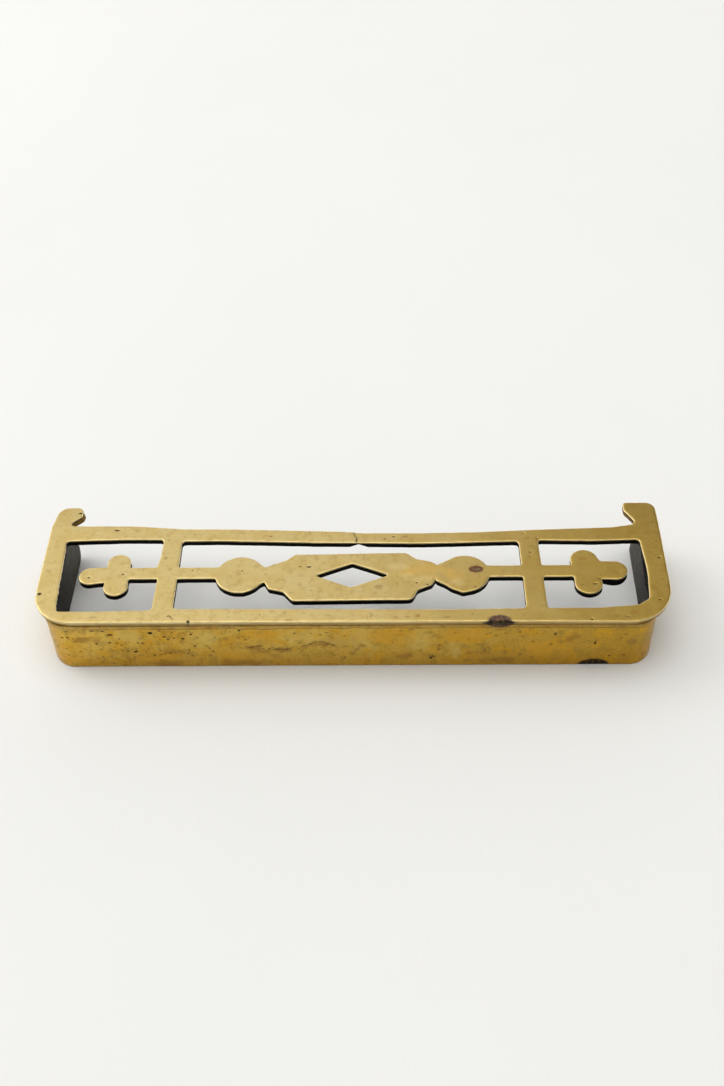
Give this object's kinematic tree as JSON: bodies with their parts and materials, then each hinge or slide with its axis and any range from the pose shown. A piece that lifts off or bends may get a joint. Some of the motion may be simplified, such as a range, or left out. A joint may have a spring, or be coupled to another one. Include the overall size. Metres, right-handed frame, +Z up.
{
  "type": "pierced brass desk stand",
  "caption": "Low pierced brass plate with trefoils, knops and a diamond cartouche, on a skirt bent round its front and sides, open behind and below.",
  "frame": {"origin": "middle of the plan, at the level of the skirt's bottom rim", "axes": "+X along the length to the right, +Y to the open back, +Z up through the plate"},
  "size_m": [0.2046, 0.053, 0.0225],
  "materials": {
    "plate_brass": "worn satin, filed and hand polished, with casting pits",
    "skirt_brass": "aged satin with darker patina and casting pits",
    "braze_outer": "aged, slightly coppery",
    "braze_inner": "rough and blackened"
  },
  "bodies": {
    "root": {"top_plate": "plate_brass", "skirt": "skirt_brass", "outer_braze": "braze_outer", "inner_braze": "braze_inner"}
  },
  "joints": []
}
